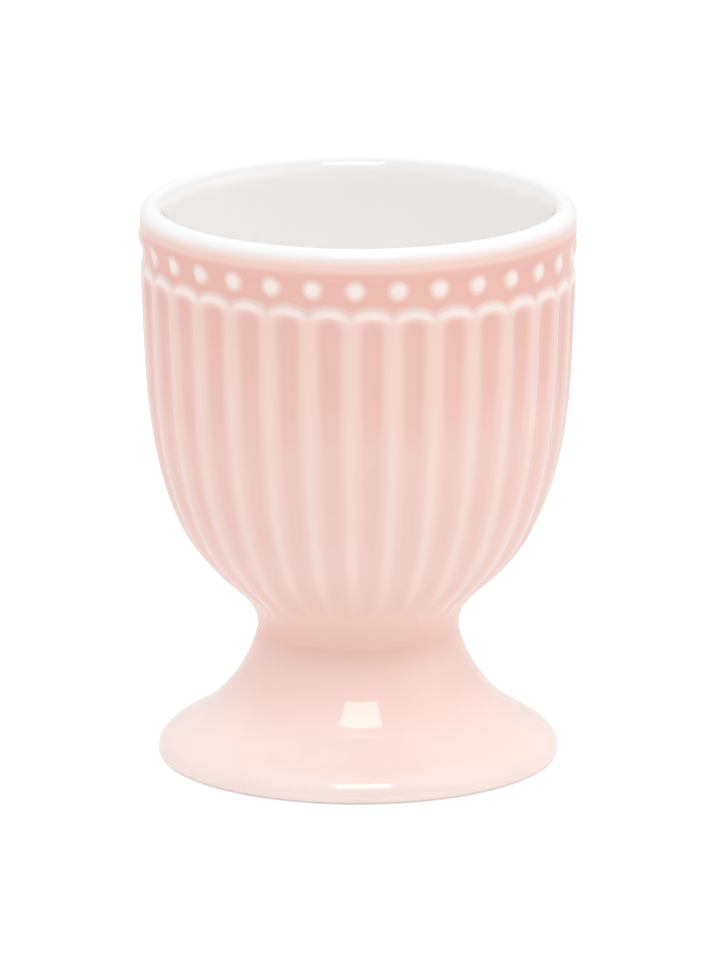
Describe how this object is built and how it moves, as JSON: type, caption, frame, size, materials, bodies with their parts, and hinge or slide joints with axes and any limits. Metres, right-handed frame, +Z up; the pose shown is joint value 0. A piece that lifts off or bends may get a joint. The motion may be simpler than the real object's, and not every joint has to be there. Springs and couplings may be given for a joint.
{
  "type": "egg cup",
  "caption": "Footed round ceramic egg cup: fluted bowl with a beaded band under the rim, narrow waist and flared hollow foot, glazed pink outside and white inside.",
  "frame": {"origin": "centre of the base, on the plane that the foot's dry ring stands on", "axes": "+Z up along the cup's axis, out of the mouth; -Y is the side that faces the picture's camera"},
  "size_m": [0.0498, 0.0498, 0.0647],
  "materials": {
    "fired_clay": "matte, unglazed",
    "fired_slip": "matte, unglazed",
    "pink_glaze": "glossy, pale pink, deeper where it pools",
    "white_glaze": "glossy white"
  },
  "bodies": {
    "root": {"bowl_body": "fired_clay", "foot_body": "fired_clay", "luting_slip": "fired_slip", "outer_glaze": "pink_glaze", "inner_glaze": "white_glaze", "underside_glaze": "white_glaze"}
  },
  "joints": []
}
